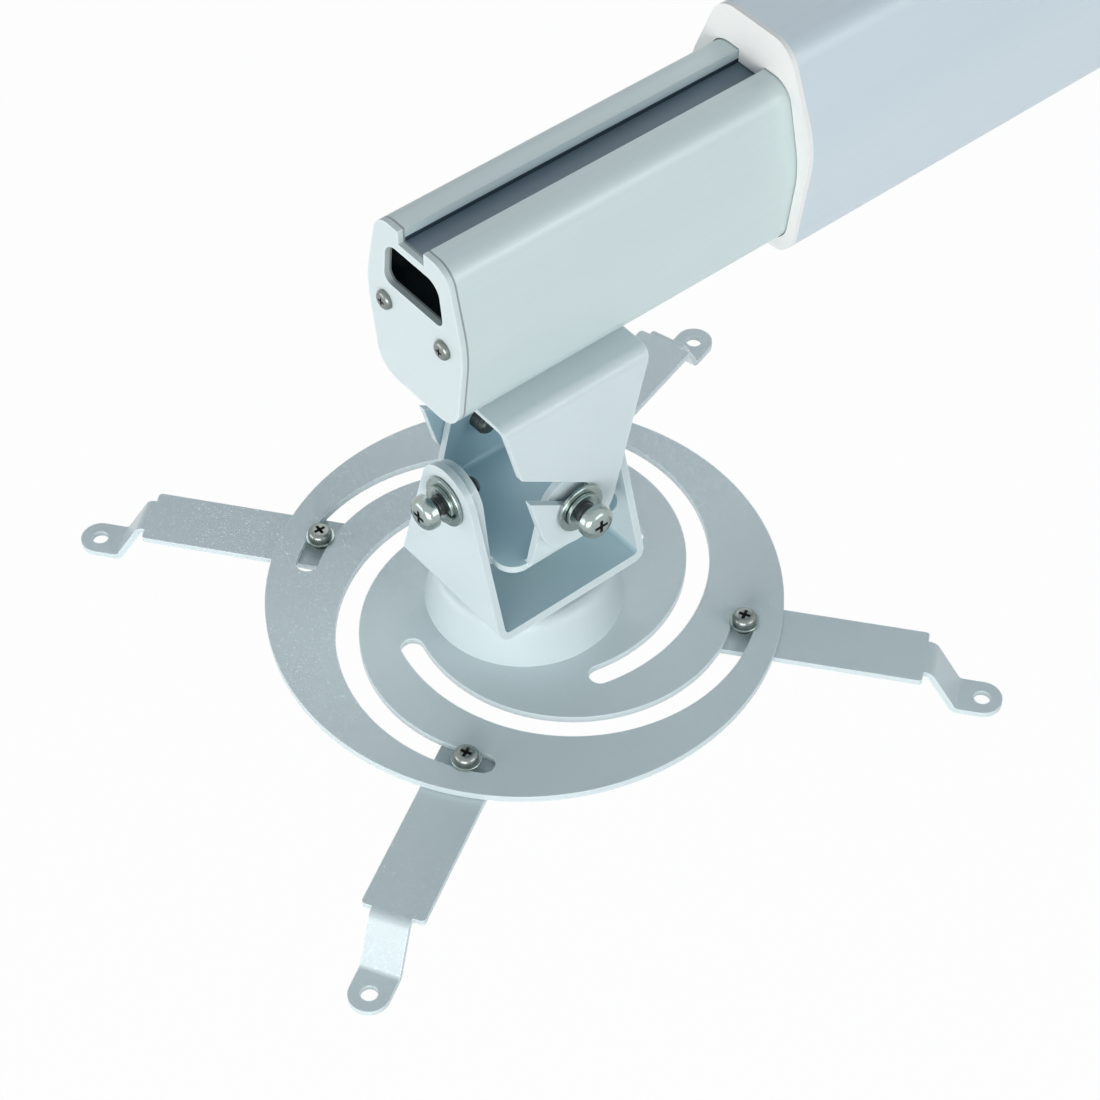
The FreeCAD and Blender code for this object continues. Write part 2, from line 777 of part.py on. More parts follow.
def make_gimbal_tray():
    roll_strap = tray_strap("tray_roll_strap", "YZ_Plane", "XZ_Plane",
                            size["tray_half_y"], size["tray_flap_base_x"])
    tilt_strap = tray_strap("tray_tilt_strap", "XZ_Plane", "YZ_Plane",
                            size["tray_half_x"], size["tray_flap_base_y"])
    floor = new_body("tray_floor")
    plan = new_sketch(floor, "XY_Plane", -size["tray_depth"])
    draw_outline(plan, round_rectangle(size["tray_plate_half_x"], size["tray_plate_half_y"],
                                       size["tray_plate_corner"]))
    add_pad(floor, plan, size["sheet"])
    tray = doc.addObject("Part::MultiFuse", "gimbal_tray")
    tray.Shapes = [roll_strap, tilt_strap, floor]
    tray.Refine = True
    doc.recompute()
    place(tray, 0, pivot_y, pivot_z)
    return keep("gimbal_tray", tray)


# The screws and washers of one gimbal axis: the screws turn in the outer ears and are tapped into the
# tray's flaps, and their heads stand proud of a plain washer and a spring washer.
def make_pivot_set(axis, half_tray, turns):
    ear_outside = half_tray + size["running_gap"] + size["sheet"]
    plain_seat = ear_outside + size["stack_gap"]
    spring_seat = plain_seat + size["pivot_washer_thickness"]
    head_seat = spring_seat + size["pivot_lock_thickness"] + size[f"{axis}_proud"]
    tail = half_tray - size["sheet"] - size["pivot_tail"]
    bore = size["pivot_radius"] + size["seat_gap"]
    screws = []
    washers = []
    for side, turn in zip((-1, 1), turns):
        screw = pan_screw(f"{axis}_screw", size["pivot_radius"], head_seat - tail,
                          size["pivot_head_radius"], size["pivot_head_height"], size["pivot_dome"])
        plain = washer(f"{axis}_plain_washer", size["pivot_washer_radius"], bore,
                       size["pivot_washer_thickness"])
        spring = washer(f"{axis}_spring_washer", size["pivot_lock_radius"], bore,
                        size["pivot_lock_thickness"])
        for item, seat in ((screw, head_seat), (plain, plain_seat), (spring, spring_seat)):
            if axis == "tilt":
                place(item, seat * side, pivot_y, pivot_z, turn)
            else:
                place(item, 0, pivot_y + seat * side, pivot_z, turn)
        screws.append(screw)
        washers.extend((plain, spring))
    group(f"{axis}_screws", screws)
    group(f"{axis}_washers", washers)


def make_lower_yoke():
    half_y = size["tray_half_y"] + size["running_gap"] + size["sheet"]
    fold = new_body("lower_yoke_fold")
    profile = new_sketch(fold, "YZ_Plane", -size["yoke_half_x"])
    draw_outline(profile, folded_channel(half_y, -size["yoke_depth"],
                                         size["yoke_ear_round"] + size["sheet"]))
    add_pad(fold, profile, size["yoke_half_x"] * 2)
    swivel_hole = new_sketch(fold, "XY_Plane", -size["yoke_depth"])
    draw_circle(swivel_hole, 0, 0, size["swivel_radius"] + size["swivel_clearance"])
    add_pocket(fold, swivel_hole, size["sheet"], reverse=True)
    sides = new_body("lower_yoke_sides")
    ear = new_sketch(sides, "XZ_Plane", -half_y)
    draw_outline(ear, [
        (-size["yoke_half_x"], -size["yoke_depth"]),
        (size["yoke_half_x"], -size["yoke_depth"]),
        (0, 0, size["yoke_ear_round"], 1),
    ])
    draw_circle(ear, 0, 0, size["pivot_radius"] + size["pivot_clearance"])
    add_pad(sides, ear, half_y * 2)
    yoke = common("lower_yoke", fold, sides)
    place(yoke, 0, pivot_y, pivot_z)
    return keep("lower_yoke", yoke)


# The hub is a drawn cup, open towards the disc.
def make_hub():
    body = new_body("hub")
    wall = size["hub_wall"]
    bore = size["swivel_radius"] + size["seat_gap"]
    outer_round = size["hub_round"]
    inner_round = outer_round - wall
    profile = new_sketch(body, "XZ_Plane")
    draw_outline(profile, [
        (size["hub_base_radius"] - wall, 0),
        (size["hub_base_radius"], 0),
        (size["hub_top_radius"] - outer_round, size["hub_height"] - outer_round, outer_round, 1),
        (bore, size["hub_height"]),
        (bore, size["hub_height"] - wall),
        (size["hub_top_radius"] - outer_round, size["hub_height"] - outer_round, inner_round, -1),
    ])
    add_turning(body, profile)
    place(body, 0, pivot_y, disc_z)
    return keep("hub", body)


def make_swivel():
    ring = washer("swivel_washer", size["swivel_washer_radius"],
                  size["swivel_radius"] + size["seat_gap"], size["swivel_washer_thickness"])
    place(ring, 0, pivot_y, disc_z + size["hub_height"])
    keep("swivel_washer", ring)
    nut_seat = yoke_base_z + size["sheet"] + size["stack_gap"]
    nut = hex_nut("swivel_nut", size["swivel_head_flats"], size["swivel_nut_height"],
                  size["swivel_radius"] + size["seat_gap"])
    place(nut, 0, pivot_y, nut_seat)
    keep("swivel_nut", nut)
    head_seat = disc_z - size["disc_thickness"]
    length = nut_seat + size["swivel_nut_height"] + size["swivel_tail"] - head_seat
    bolt = hex_bolt("swivel_bolt", size["swivel_radius"], length, size["swivel_head_flats"],
                    size["swivel_head_height"])
    place(bolt, 0, pivot_y, head_seat - size["swivel_head_height"])
    keep("swivel_bolt", bolt)


# A point on the middle line of the first slot, at an angle about the slot's own centre.
def slot_point(angle, radius):
    centre_x = size["slot_centre_offset"] * cosine(size["slot_centre_angle"])
    centre_y = size["slot_centre_offset"] * sine(size["slot_centre_angle"])
    return centre_x + radius * cosine(angle), centre_y + radius * sine(angle)


# One curved slot: two arcs about the slot's centre, closed by round ends.
def draw_curved_slot(sketch):
    half = size["slot_width"] / 2
    start = size["slot_start_angle"]
    end = size["slot_end_angle"]
    radius = size["slot_arc_radius"]
    centre = slot_point(start, as_size(0))
    up = FreeCAD.Vector(0, 0, 1)
    middle = FreeCAD.Vector(centre[0].number, centre[1].number, 0)
    arcs = []
    for reach in (radius + half, radius - half):
        circle = Part.Circle(middle, up, reach.number)
        span = Part.ArcOfCircle(circle, math.radians(start.number), math.radians(end.number))
        arcs.append(sketch.addGeometry(span, False))
    outer, inner = arcs
    caps = []
    for angle, opening in ((start, 2 * QUARTER), (end, 0.0)):
        point = slot_point(angle, radius)
        spot = FreeCAD.Vector(point[0].number, point[1].number, 0)
        first = math.radians(angle.number + opening)
        cap = Part.ArcOfCircle(Part.Circle(spot, up, half.number), first, first + math.pi)
        caps.append((sketch.addGeometry(cap, False), point))
    (start_cap, start_spot), (end_cap, end_spot) = caps
    for first, first_end, second, second_end in (
        (outer, 1, start_cap, 2),
        (start_cap, 1, inner, 1),
        (inner, 2, end_cap, 2),
        (end_cap, 1, outer, 2),
    ):
        sketch.addConstraint(Sketcher.Constraint("Tangent", first, first_end, second, second_end))
    sketch.addConstraint(Sketcher.Constraint("Coincident", outer, 3, inner, 3))
    fix_point(sketch, outer, 3, *centre)
    fix_radius(sketch, outer, radius + half)
    fix_radius(sketch, inner, radius - half)
    for cap, along in ((start_cap, start), (end_cap, end)):
        guide = Part.LineSegment(middle, FreeCAD.Vector(*[
            value.number for value in slot_point(along, radius)], 0))
        line = sketch.addGeometry(guide, True)
        sketch.addConstraint(Sketcher.Constraint("Coincident", line, 1, outer, 3))
        sketch.addConstraint(Sketcher.Constraint("Coincident", line, 2, cap, 3))
        rule = Sketcher.Constraint("Angle", line, math.radians(along.number))
        index = sketch.addConstraint(rule)
        sketch.setExpression(f"Constraints[{index}]", f"{along.formula} * 1 deg")


def make_spider_disc():
    body = new_body("spider_disc")
    rim = new_sketch(body, "XY_Plane")
    draw_circle(rim, 0, 0, size["disc_radius"])
    draw_circle(rim, 0, 0, size["swivel_radius"] + size["seat_gap"])
    add_pad(body, rim, size["disc_thickness"], reverse=True)
    slot = new_sketch(body, "XY_Plane")
    draw_curved_slot(slot)
    first = add_pocket(body, slot, size["disc_thickness"])
    before = body.Shape.Volume
    pattern = body.newObject("PartDesign::PolarPattern", "spider_disc_slots")
    pattern.Originals = [first]
    axis = next(item for item in body.Origin.OriginFeatures if item.Role == "Z_Axis")
    pattern.Axis = (axis, [""])
    pattern.Angle = FULL_TURN
    pattern.setExpression("Occurrences", size["slot_count"].formula)
    body.Tip = pattern
    doc.recompute()
    if not body.Shape.Volume < before:
        raise RuntimeError("the slot pattern cuts nothing")
    place(body, 0, pivot_y, disc_z)
    return keep("spider_disc", body)


# An arm: its side view is a bar bent down to a foot, trimmed to the plan with a narrow neck.
def make_arm(name):
    thick = size["arm_thickness"]
    inner_round = size["bend_radius"]
    outer_round = inner_round + thick
    half_width = size["arm_half_width"]
    neck = size["arm_neck_half_width"]
    tip = size["arm_foot_hole"] + neck
    high_bend = (size["arm_neck_start"], -thick - inner_round)
    low_bend = (size["arm_neck_end"], inner_round - size["arm_foot_drop"])
    strip = new_body(f"{name}_strip")
    bend = new_sketch(strip, "XZ_Plane", -half_width)
    draw_outline(bend, [
        (-size["arm_tail"], -thick),
        high_bend + (inner_round, -1),
        low_bend + (outer_round, 1),
        (tip, -size["arm_foot_drop"] - thick),
        (tip, -size["arm_foot_drop"]),
        low_bend + (inner_round, -1),
        high_bend + (outer_round, 1),
        (-size["arm_tail"], 0),
    ])
    add_pad(strip, bend, half_width * 2)
    plan = new_body(f"{name}_plan")
    deep = size["arm_foot_drop"] + thick
    outline = new_sketch(plan, "XY_Plane", -deep)
    corner = size["arm_corner"]
    shoulder_round = size["arm_shoulder_round"]
    right = [
        (corner - size["arm_tail"], corner - half_width, corner, 1),
        (size["arm_shoulder"] - shoulder_round, shoulder_round - half_width, shoulder_round, 1),
        (size["arm_shoulder"], -neck),
    ]
    left = [(item[0], -item[1]) + tuple(item[2:]) for item in reversed(right)]
    draw_outline(outline, right + [(size["arm_foot_hole"], 0, neck, 1)] + left)
    draw_circle(outline, 0, 0, size["arm_bolt_radius"] + size["arm_bolt_clearance"])
    draw_circle(outline, size["arm_foot_hole"], 0, size["arm_foot_hole_radius"])
    add_pad(plan, outline, deep)
    return common(name, strip, plan)


def make_arm_set(number):
    quarter = as_size(QUARTER * (number - 1))
    centre_angle = size["slot_centre_angle"] + quarter
    bolt_angle = size[f"arm_{number}_bolt_angle"] + quarter
    x = size["slot_centre_offset"] * cosine(centre_angle) + size["slot_arc_radius"] * cosine(bolt_angle)
    y = size["slot_centre_offset"] * sine(centre_angle) + size["slot_arc_radius"] * sine(bolt_angle)
    arm_top_z = disc_z - size["disc_thickness"] - size["stack_gap"]
    washer_z = disc_z + size["stack_gap"]
    head_z = washer_z + size["arm_washer_thickness"]
    nut_top_z = arm_top_z - size["arm_thickness"] - size["stack_gap"]
    end_z = nut_top_z - size["arm_nut_height"] - size["arm_bolt_tail"]
    aim = FreeCAD.Rotation(FreeCAD.Vector(0, 0, 1), size[f"arm_{number}_aim_angle"].number)
    arm = make_arm(f"arm_{number}")
    bolt = pan_screw(f"arm_bolt_{number}", size["arm_bolt_radius"], head_z - end_z,
                     size["arm_bolt_head_radius"], size["arm_bolt_head_height"],
                     size["arm_bolt_dome"])
    ring = washer(f"arm_washer_{number}", size["arm_washer_radius"],
                  size["arm_bolt_radius"] + size["seat_gap"], size["arm_washer_thickness"])
    nut = hex_nut(f"arm_nut_{number}", size["arm_nut_flats"], size["arm_nut_height"],
                  size["arm_bolt_radius"] + size["seat_gap"])
    for item, z in ((arm, arm_top_z), (bolt, head_z), (ring, washer_z),
                    (nut, nut_top_z - size["arm_nut_height"])):
        place(item, x, pivot_y + y, z, aim)
        keep(item.Name, item)


def build():
    make_wall_plate()
    make_outer_tube()
    make_tube_screws()
    make_lock_screw()
    make_tube_collar()
    make_inner_tube()
    make_end_plate()
    make_end_plate_screws()
    make_rear_guide()
    make_upper_bracket()
    make_bracket_bolts()
    make_nut_plate()
    make_gimbal_tray()
    make_pivot_set("tilt", size["tray_half_x"], (to_left, to_right))
    make_pivot_set("roll", size["tray_half_y"], (away_from_wall, towards_wall))
    make_lower_yoke()
    make_hub()
    make_swivel()
    make_spider_disc()
    for number in range(1, int(SIZES["slot_count"]) + 1):
        make_arm_set(number)
    doc.recompute()


def check():
    for item in doc.Objects:
        if "Invalid" in item.State or "Error" in item.State:
            raise RuntimeError(f"{item.Label} failed: {item.State}")
    for name, item in pieces.items():
        if item.Shape.isNull() or not item.Shape.isValid() or not item.Shape.Solids:
            raise RuntimeError(f"{name} has no sound solid")


def write():
    os.makedirs("parts", exist_ok=True)
    for name, item in pieces.items():
        item.Shape.exportStep(f"parts/{name}.step")
        box = item.Shape.BoundBox
        print(f"{name}: {len(item.Shape.Solids)} solids, {item.Shape.Volume:.0f} mm3, "
              f"x {box.XMin:.1f} {box.XMax:.1f}, y {box.YMin:.1f} {box.YMax:.1f}, "
              f"z {box.ZMin:.1f} {box.ZMax:.1f}")


build()
check()
write()
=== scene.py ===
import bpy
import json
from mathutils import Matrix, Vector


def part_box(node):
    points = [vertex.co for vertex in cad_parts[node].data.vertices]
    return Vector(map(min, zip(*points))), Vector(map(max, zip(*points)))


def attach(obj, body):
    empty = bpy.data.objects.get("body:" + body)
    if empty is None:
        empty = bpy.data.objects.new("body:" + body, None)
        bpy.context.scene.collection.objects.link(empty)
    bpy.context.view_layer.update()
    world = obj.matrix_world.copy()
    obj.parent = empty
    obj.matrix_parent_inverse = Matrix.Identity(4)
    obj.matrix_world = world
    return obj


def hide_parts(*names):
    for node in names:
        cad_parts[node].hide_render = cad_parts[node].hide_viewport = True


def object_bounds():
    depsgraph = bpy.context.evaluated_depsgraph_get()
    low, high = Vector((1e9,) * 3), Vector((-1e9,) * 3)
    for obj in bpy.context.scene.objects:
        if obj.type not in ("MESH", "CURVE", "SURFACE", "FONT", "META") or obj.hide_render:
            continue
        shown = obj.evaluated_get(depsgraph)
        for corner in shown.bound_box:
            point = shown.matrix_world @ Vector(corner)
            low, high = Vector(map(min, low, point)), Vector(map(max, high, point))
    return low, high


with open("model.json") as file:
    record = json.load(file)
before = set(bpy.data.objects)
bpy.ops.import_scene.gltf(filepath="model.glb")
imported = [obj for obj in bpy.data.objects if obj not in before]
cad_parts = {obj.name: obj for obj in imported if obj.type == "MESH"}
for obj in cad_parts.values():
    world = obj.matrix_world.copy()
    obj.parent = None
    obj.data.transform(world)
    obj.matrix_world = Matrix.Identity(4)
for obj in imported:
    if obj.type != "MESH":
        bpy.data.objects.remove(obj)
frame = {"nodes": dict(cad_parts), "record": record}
cadBox = [list(corner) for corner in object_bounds()]

import json
import math

import bmesh
import bpy
from mathutils import Matrix, Vector

mm = 0.001
print("frame loaded,", len(frame["nodes"]), "nodes")


def middle(node):
    low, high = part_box(node)
    return (low + high) / 2


# the photograph's own viewpoint
viewSpec = {
    "spot": (0.5934, -0.9652, 0.6833),
    "azimuth": 51.146,
    "elevation": 47.934,
    "roll": -0.4714,
    "lens": 96.93,
    "sensor": 36.0,
    "clipStart": 0.05,
    "clipEnd": 30,
}


def setCamera(spec):
    azimuth = math.radians(spec["azimuth"])
    elevation = math.radians(spec["elevation"])
    roll = math.radians(spec["roll"])
    flat = math.cos(elevation)
    back = Vector((math.sin(azimuth) * flat, -math.cos(azimuth) * flat, math.sin(elevation)))
    right = Vector((math.cos(azimuth), math.sin(azimuth), 0))
    up = back.cross(right)
    turnedRight = right * math.cos(roll) + up * math.sin(roll)
    turnedUp = up * math.cos(roll) - right * math.sin(roll)
    data = bpy.data.cameras.new("photoCamera")
    data.lens = spec["lens"]
    data.sensor_width = spec["sensor"]
    data.clip_start = spec["clipStart"]
    data.clip_end = spec["clipEnd"]
    camera = bpy.data.objects.new("photoCamera", data)
    bpy.context.collection.objects.link(camera)
    turn = Matrix((turnedRight, turnedUp, back)).transposed().to_4x4()
    camera.matrix_world = Matrix.Translation(spec["spot"]) @ turn
    bpy.context.scene.camera = camera


setCamera(viewSpec)
bpy.context.scene.view_settings.view_transform = "Standard"
print("camera set")


# one wired value of a node tree; arithmetic on it adds Math nodes
class Wire:
    def __init__(self, tree, socket):
        self.tree = tree
        self.socket = socket

    def maths(self, operation, first, second):
        return self.tree.node("ShaderNodeMath", {"operation": operation}, {0: first, 1: second})

    def __add__(self, other):
        return self.maths("ADD", self, other)

    def __radd__(self, other):
        return self.maths("ADD", other, self)

    def __sub__(self, other):
        return self.maths("SUBTRACT", self, other)

    def __rsub__(self, other):
        return self.maths("SUBTRACT", other, self)

    def __mul__(self, other):
        return self.maths("MULTIPLY", self, other)

    def __rmul__(self, other):
        return self.maths("MULTIPLY", other, self)

    def __abs__(self):
        return self.maths("ABSOLUTE", self, 0)

    def __lt__(self, other):
        return self.maths("LESS_THAN", self, other)

    def __gt__(self, other):
        return self.maths("GREATER_THAN", self, other)


# a node tree under construction, of a material or of the world
class Tree:
    def __init__(self, owner):
        owner.use_nodes = True
        self.nodes = owner.node_tree.nodes
        self.links = owner.node_tree.links
        self.nodes.clear()

    def node(self, kind, settings, sockets, output=0):
        made = self.nodes.new(kind)
        for key, value in settings.items():
            if key == "stops":
                self.setStops(made.color_ramp, value)
            else:
                setattr(made, key, value)
        for key, value in sockets.items():
            if isinstance(value, Wire):
                self.links.new(value.socket, made.inputs[key])
            else:
                made.inputs[key].default_value = value
        return Wire(self, made.outputs[output]) if made.outputs else made

    def setStops(self, ramp, stops):
        while len(ramp.elements) < len(stops):
            ramp.elements.new(1.0)
        for element, (position, colour) in zip(ramp.elements, stops):
            element.position = position
            element.color = colour

    def vectorMaths(self, operation, first, second, output="Vector"):
        settings = {"operation": operation}
        return self.node("ShaderNodeVectorMath", settings, {0: first, 1: second}, output)


def tint(red, green, blue):
    def linear(level):
        share = level / 255
        return share / 12.92 if share <= 0.04045 else ((share + 0.055) / 1.055) ** 2.4
    return (linear(red), linear(green), linear(blue), 1)


def shade(colour, level):
    return tuple(min(1, part * level) for part in colour[:3]) + (1,)


rimSpec = {"samples": 6, "grainFloor": 0.6}


class Finish(Tree):
    def __init__(self, name):
        self.material = bpy.data.materials.new(name)
        super().__init__(self.material)
        self.place = self.node("ShaderNodeTexCoord", {}, {}, "Object")

    def along(self, axis):
        return self.node("ShaderNodeSeparateXYZ", {}, {"Vector": self.place}, axis)

    def grain(self, scale, detail, stretch=(1, 1, 1)):
        spot = self.node("ShaderNodeMapping", {}, {"Vector": self.place, "Scale": stretch})
        return self.node("ShaderNodeTexNoise", {}, {"Vector": spot, "Scale": scale, "Detail": detail})

    def blend(self, factor, first, second):
        return self.node("ShaderNodeMix", {"data_type": "RGBA"}, {0: factor, 6: first, 7: second}, 2)

    def toned(self, factor, colour, shades):
        return self.blend(factor, shade(colour, shades[0]), shade(colour, shades[1]))

    def ramp(self, value, low, high):
        stops = [(low, (0, 0, 0, 1)), (high, (1, 1, 1, 1))]
        return self.node("ShaderNodeValToRGB", {"stops": stops}, {0: value})

    # a level that each pattern moves by its own amount
    def vary(self, level, patterns, amounts):
        for pattern, amount in zip(patterns, amounts):
            level = pattern * amount + level
        return level

    # wear and a painted highlight on the piece's own edges, over the given width and broken up by a
    # grain
    def wearAndSheen(self, width, grain, bounds):
        rounded = self.node("ShaderNodeBevel", {"samples": rimSpec["samples"]}, {"Radius": width})
        plain = self.node("ShaderNodeNewGeometry", {}, {}, "Normal")
        rim = 1 - self.vectorMaths("DOT_PRODUCT", rounded, plain, "Value")
        return self.ramp(rim * (grain + rimSpec["grainFloor"]), *bounds)

    # below zero where the surface looks back towards a point
    def facing(self, point, weights):
        normal = self.node("ShaderNodeTexCoord", {}, {}, "Normal")
        weighed = self.vectorMaths("MULTIPLY", normal, weights)
        outward = self.vectorMaths("SUBTRACT", self.place, point)
        return self.vectorMaths("DOT_PRODUCT", weighed, outward, "Value")

    def relief(self, height, strength, depth):
        return self.node("ShaderNodeBump", {}, {
            "Height": height, "Strength": strength, "Distance": depth})

    def done(self, sockets):
        surface = self.node("ShaderNodeBsdfPrincipled", {}, sockets)
        self.node("ShaderNodeOutputMaterial", {}, {"Surface": surface})
        return self.material


# in every finish a grain is its scale, detail and stretch, and a relief its strength and depth
steelPaint = {
    "colour": tint(213, 225, 227),
    "tone": (14, 3),
    "toneShades": (0.93, 1.05),
    "fleck": (1500, 2),
    "fleckBounds": (0.58, 0.72),
    "fleckShade": 1.22,
    "fleckShare": 0.22,
    "scuff": (60, 6, (1, 9, 3)),
    "scuffBounds": (0.66, 0.74),
    "scuffShade": 0.80,
    "scuffShare": 0.10,
    "wearAndSheen": (240, 4),
    "wearAndSheenWidth": 0.0011,
    "wearAndSheenBounds": (0.03, 0.20),
    "wearAndSheenShade": 1.26,
    "wearAndSheenShare": 0.6,
    "glintBounds": (0.62, 0.74),
    "glintMetal": 0.5,
    "roughness": 0.29,
    "roughAmounts": (0.14, 0.08, 0.08, -0.10),
    "coat": 0.15,
    "coatRoughness": 0.22,
    "peel": (420, 3),
    "peelShares": (0.7, 0.3),
    "relief": (0.25, 0.00012),
}
# painted shade: the nested gimbal sheets get a deeper blue colour where they face the gimbal's centre,
# standing in for the shade inside the gimbal
nestedShadedPaint = dict(
    steelPaint, paintedShadeColour=tint(180, 208, 217), paintedShadeFacing=(1, 1, 1), paintedShadeBound=-0.002)
yokeShadedPaint = dict(
    nestedShadedPaint, paintedShadeColour=tint(186, 211, 219), paintedShadeFacing=(0, 0, 1), paintedShadeBound=-0.02)
gimbalCentre = tuple(middle("tilt_screws"))


def paintedSteel(name, spec):
    make = Finish(name)
    colour = spec["colour"]
    tone = make.grain(*spec["tone"])
    fleck = make.grain(*spec["fleck"])
    peel = make.grain(*spec["peel"])
    scuff = make.ramp(make.grain(*spec["scuff"]), *spec["scuffBounds"])
    wornAndSheen = make.wearAndSheen(spec["wearAndSheenWidth"], make.grain(*spec["wearAndSheen"]), spec["wearAndSheenBounds"])
    flecked = make.ramp(fleck, *spec["fleckBounds"]) * spec["fleckShare"]
    skin = make.toned(tone, colour, spec["toneShades"])
    skin = make.blend(flecked, skin, shade(colour, spec["fleckShade"]))
    skin = make.blend(scuff * spec["scuffShare"], skin, shade(colour, spec["scuffShade"]))
    # painted shade on the faces that look towards the gimbal's centre
    if "paintedShadeColour" in spec:
        inner = make.facing(gimbalCentre, spec["paintedShadeFacing"]) < spec["paintedShadeBound"]
        skin = make.blend(inner, skin, spec["paintedShadeColour"])
    # edges lightened: partly rubbed wear, partly a painted highlight
    skin = make.blend(wornAndSheen * spec["wearAndSheenShare"], skin, shade(colour, spec["wearAndSheenShade"]))
    return make.done({
        "Base Color": skin,
        "Roughness": make.vary(spec["roughness"], (tone, fleck, scuff, wornAndSheen), spec["roughAmounts"]),
        "Metallic": make.ramp(fleck, *spec["glintBounds"]) * spec["glintMetal"],
        "Coat Weight": spec["coat"],
        "Coat Roughness": spec["coatRoughness"],
        "Normal": make.relief(make.vary(0, (peel, fleck), spec["peelShares"]), *spec["relief"]),
    })


# painted shade in the boom's duct, on its channel's walls and their dark foot, and on the channel's
# floor, in millimetres
tubeSkin = {
    "colour": tint(208, 222, 222),
    "drawn": (700, 2, (1, 0.012, 1)),
    "drawnShade": 0.86,
    "drawnShare": 0.22,
    "tone": (9, 2, (1, 0.3, 1)),
    "toneShades": (0.96, 1.03),
    "speck": (2200, 1),
    "roughness": 0.26,
    "roughAmounts": (0.16, 0.08),
    "metal": 0.08,
    "reliefShares": (0.8, 0.2),
    "relief": (0.22, 0.00008),
    "shadedPlaces": [
        {"reach": 24.6, "lean": 0.35, "low": -1.0, "high": 22.4, "colour": tint(34, 44, 49)},
        {"reach": 7.3, "lean": 0, "low": 23.4, "high": 29.5, "colour": tint(196, 212, 216)},
        {"reach": 7.3, "lean": 0, "low": 23.4, "high": 26.0, "colour": tint(46, 62, 74)},
        {"reach": 6.7, "lean": 0, "low": 23.4, "high": 25.0, "colour": tint(104, 122, 134)},
    ],
}
sleeveSkin = dict(tubeSkin, colour=tint(208, 220, 227), roughness=0.24, shadedPlaces=[])


def anodisedTube(name, spec):
    make = Finish(name)
    drawn = make.grain(*spec["drawn"])
    tone = make.grain(*spec["tone"])
    speck = make.grain(*spec["speck"])
    skin = make.toned(tone, spec["colour"], spec["toneShades"])
    skin = make.blend(drawn * spec["drawnShare"], skin, shade(spec["colour"], spec["drawnShade"]))
    across = abs(make.along("X"))
    up = make.along("Z")
    # the duct and the cable channel are painted with shade
    for place in spec["shadedPlaces"]:
        narrow = across + up * place["lean"] < place["reach"] * mm
        paintedShadeSpot = narrow * (up > place["low"] * mm) * (up < place["high"] * mm)
        skin = make.blend(paintedShadeSpot, skin, place["colour"])
    return make.done({
        "Base Color": skin,
        "Roughness": make.vary(spec["roughness"], (drawn, tone), spec["roughAmounts"]),
        "Metallic": spec["metal"],
        "Normal": make.relief(make.vary(0, (drawn, speck), spec["reliefShares"]), *spec["relief"]),
    })


# the plate on the boom's end shows a thin seam where it meets the extrusion
endCapSkin = {
    "colour": tint(211, 221, 222),
    "fine": (900, 3),
    "tone": (30, 2),
    "toneShades": (0.97, 1.02),
    "wearAndSheenWidth": 0.0016,
    "wearAndSheenBounds": (0.03, 0.22),
    "wearAndSheenShade": 1.25,
    "wearAndSheenShare": 0.7,
    "seam": -542.8,
    "seamShade": 0.46,
    "roughness": 0.28,
    "roughAmounts": (0.12, 0.08, -0.06),
    "relief": (0.2, 0.00008),
}


def cappedEnd(name, spec):
    make = Finish(name)
    fine = make.grain(*spec["fine"])
    tone = make.grain(*spec["tone"])
    seam = make.along("Y") > spec["seam"] * mm
    wornAndSheen = make.wearAndSheen(spec["wearAndSheenWidth"], fine, spec["wearAndSheenBounds"])
    skin = make.toned(tone, spec["colour"], spec["toneShades"])
    # edges lightened: partly rubbed wear, partly a painted highlight
    skin = make.blend(wornAndSheen * spec["wearAndSheenShare"], skin, shade(spec["colour"], spec["wearAndSheenShade"]))
    return make.done({
        "Base Color": make.blend(seam, skin, shade(spec["colour"], spec["seamShade"])),
        "Roughness": make.vary(spec["roughness"], (fine, tone, wornAndSheen), spec["roughAmounts"]),
        "Normal": make.relief(fine, *spec["relief"]),
    })


collarPlastic = {
    "colour": tint(243, 242, 239),
    "fine": (1300, 3),
    "tone": (25, 2),
    "toneShades": (0.96, 1.02),
    "roughness": 0.39,
    "roughAmounts": (0.16, 0.06),
    "specular": 0.45,
    "relief": (0.2, 0.0001),
}
washerPlastic = dict(collarPlastic, colour=tint(226, 226, 214), roughness=0.35)


def mouldedPlastic(name, spec):
    make = Finish(name)
    fine = make.grain(*spec["fine"])
    tone = make.grain(*spec["tone"])
    return make.done({
        "Base Color": make.toned(tone, spec["colour"], spec["toneShades"]),
        "Roughness": make.vary(spec["roughness"], (fine, tone), spec["roughAmounts"]),
        "Normal": make.relief(fine, *spec["relief"]),
        "Specular IOR Level": spec["specular"],
    })


screwPlate = {
    "colour": tint(160, 173, 170),
    "cloud": (160, 3),
    "cloudShades": (0.86, 1.08),
    "stain": (420, 4),
    "stainBounds": (0.55, 0.72),
    "stainColour": tint(108, 120, 114),
    "stainShare": 0.3,
    "fine": (2600, 2),
    "roughness": 0.10,
    "roughAmounts": (0.14, 0.10, 0.06),
    "metal": 0.95,
    "relief": (0.15, 0.00005),
}
darkPlate = dict(screwPlate, colour=tint(132, 139, 136), roughness=0.16)


